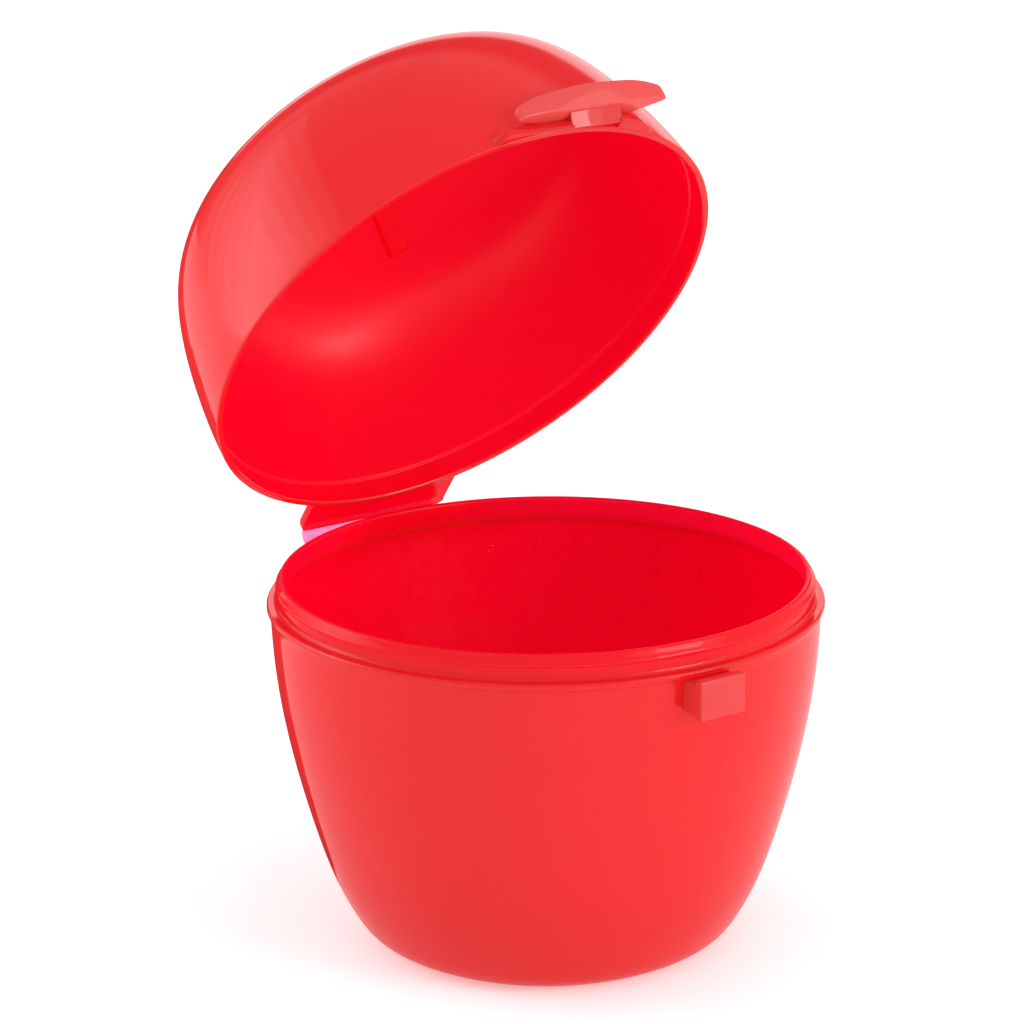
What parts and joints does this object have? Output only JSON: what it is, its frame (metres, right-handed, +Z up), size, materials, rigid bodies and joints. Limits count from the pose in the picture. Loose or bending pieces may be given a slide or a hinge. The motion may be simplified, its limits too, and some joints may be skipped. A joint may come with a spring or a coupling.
{
  "type": "mouthguard case",
  "caption": "Round thin-walled plastic case with a domed lid on a living hinge, standing open, with a two-layer mouthguard lying in the cup.",
  "frame": {"origin": "centre of the cup's flat foot", "axes": "+Z up along the cup's axis, -Y towards the finger catch at the front, +Y towards the living hinge"},
  "size_m": [0.0896, 0.1145, 0.144],
  "materials": {
    "red_pp": "glossy translucent polypropylene",
    "hinge_film": "thin translucent polypropylene film",
    "guard_outer": "satin moulded elastomer",
    "guard_inner": "soft matte thermoplastic"
  },
  "bodies": {
    "cup": {"cup_shell": "red_pp", "cup_catch": "red_pp", "cup_hinge_leaf": "red_pp", "hinge_web": "hinge_film"},
    "lid": {"lid_shell": "red_pp", "lid_hinge_leaf": "red_pp", "lid_tab": "red_pp", "lid_tab_lug": "red_pp", "lid_apron": "red_pp", "lid_rib": "red_pp"},
    "guard": {"guard_shell": "guard_outer", "guard_liner": "guard_inner"}
  },
  "joints": [
    {"name": "lid_hinge", "type": "hinge", "parent": "cup", "child": "lid", "pos_m": [0, 0.05038, 0.05609], "axis": [-1, 0, 0], "range_deg": [-53, 120], "deforming": ["hinge_web"]},
    {"name": "guard_lift", "type": "slide", "parent": "cup", "child": "guard", "axis": [0, 0, 1], "range_m": [0, 0.06]}
  ]
}
